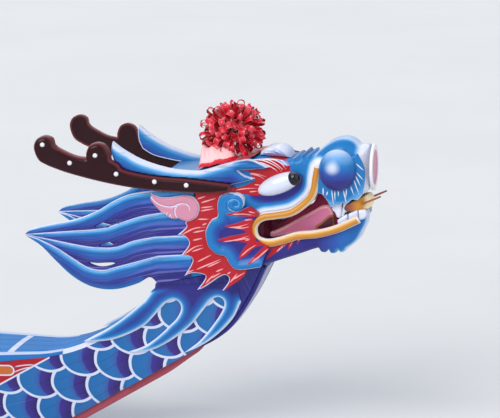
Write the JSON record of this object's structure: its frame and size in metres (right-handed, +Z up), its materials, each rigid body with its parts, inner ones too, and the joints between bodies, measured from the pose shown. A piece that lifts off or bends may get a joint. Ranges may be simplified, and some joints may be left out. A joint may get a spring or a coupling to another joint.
{
  "type": "dragon boat",
  "caption": "Long open wooden racing boat with a carved, painted dragon's head at the bow, a tail at the stern, a drum and a steering oar",
  "frame": {"origin": "on the waterline, amidships on the centreline", "axes": "+X forward, +Y to port, +Z up"},
  "size_m": [12.5771, 1.3486, 2.0026],
  "materials": {
    "azure_paint": "gloss enamel on wood",
    "sky_paint": "gloss enamel on wood",
    "violet_paint": "gloss enamel on wood",
    "red_paint": "gloss enamel on wood",
    "keel_paint": "faded, chalky enamel",
    "white_paint": "gloss enamel on wood",
    "pink_paint": "gloss enamel on wood",
    "gold_paint": "gloss enamel on wood",
    "maroon_lacquer": "glossy dark lacquer",
    "plain_wood": "oiled, worn",
    "dark_wood": "oiled",
    "galvanised_steel": "dull zinc",
    "ribbon_satin": "shiny satin ribbon"
  },
  "bodies": {
    "boat": {"keel": "keel_paint", "hull_bottom_aft": "violet_paint", "hull_bottom_midship": "violet_paint", "hull_bottom_fore": "violet_paint", "gunwale_starboard": "sky_paint", "gunwale_port": "sky_paint", "foredeck": "sky_paint", "afterdeck": "sky_paint", "floor_timbers": "dark_wood", "thwarts": "plain_wood", "floorboards": "plain_wood", "neck": "violet_paint", "stem": "white_paint", "skull": "azure_paint", "lower_jaw": "violet_paint", "brow": "white_paint", "tongue": "pink_paint", "upper_front_lip": "gold_paint", "upper_teeth": "white_paint", "lower_teeth": "white_paint", "nose_disc": "pink_paint", "sash": "ribbon_satin", "rosette": "ribbon_satin", "tail_block": "violet_paint", "sternpost": "white_paint", "tail_fin": "azure_paint", "drum": "red_paint", "drum_stand": "dark_wood", "oar_beam": "plain_wood", "lip_starboard": "gold_paint", "lip_port": "gold_paint", "cheek_starboard": "azure_paint", "cheek_port": "azure_paint", "ear_starboard": "pink_paint", "ear_port": "pink_paint", "ruff_starboard": "red_paint", "ruff_port": "red_paint", "mane_starboard": "violet_paint", "mane_port": "violet_paint", "horn_starboard": "maroon_lacquer", "horn_port": "maroon_lacquer", "crest_starboard": "azure_paint", "crest_port": "azure_paint", "neck_plume_starboard": "sky_paint", "neck_plume_port": "sky_paint", "eye_starboard": "white_paint", "eye_port": "white_paint", "nostril_starboard": "azure_paint", "nostril_port": "azure_paint", "side_frames_starboard": "dark_wood", "side_frames_port": "dark_wood", "hull_side_starboard_aft": "azure_paint", "hull_side_starboard_midship": "azure_paint", "hull_side_starboard_fore": "azure_paint", "hull_side_port_aft": "azure_paint", "hull_side_port_midship": "azure_paint", "hull_side_port_fore": "azure_paint"},
    "crutch": {"oar_crutch": "galvanised_steel"},
    "oar": {"steering_oar": "plain_wood"}
  },
  "joints": [
    {"name": "crutch_swivel", "type": "hinge", "parent": "boat", "child": "crutch", "pos_m": [-4.45, 0.43, 0.64], "axis": [0, 0, 1], "range_deg": [-45, 8]},
    {"name": "oar_tilt", "type": "hinge", "parent": "crutch", "child": "oar", "pos_m": [-4.45, 0.43, 0.64], "axis": [0, 1, 0], "range_deg": [-10, 27]}
  ]
}
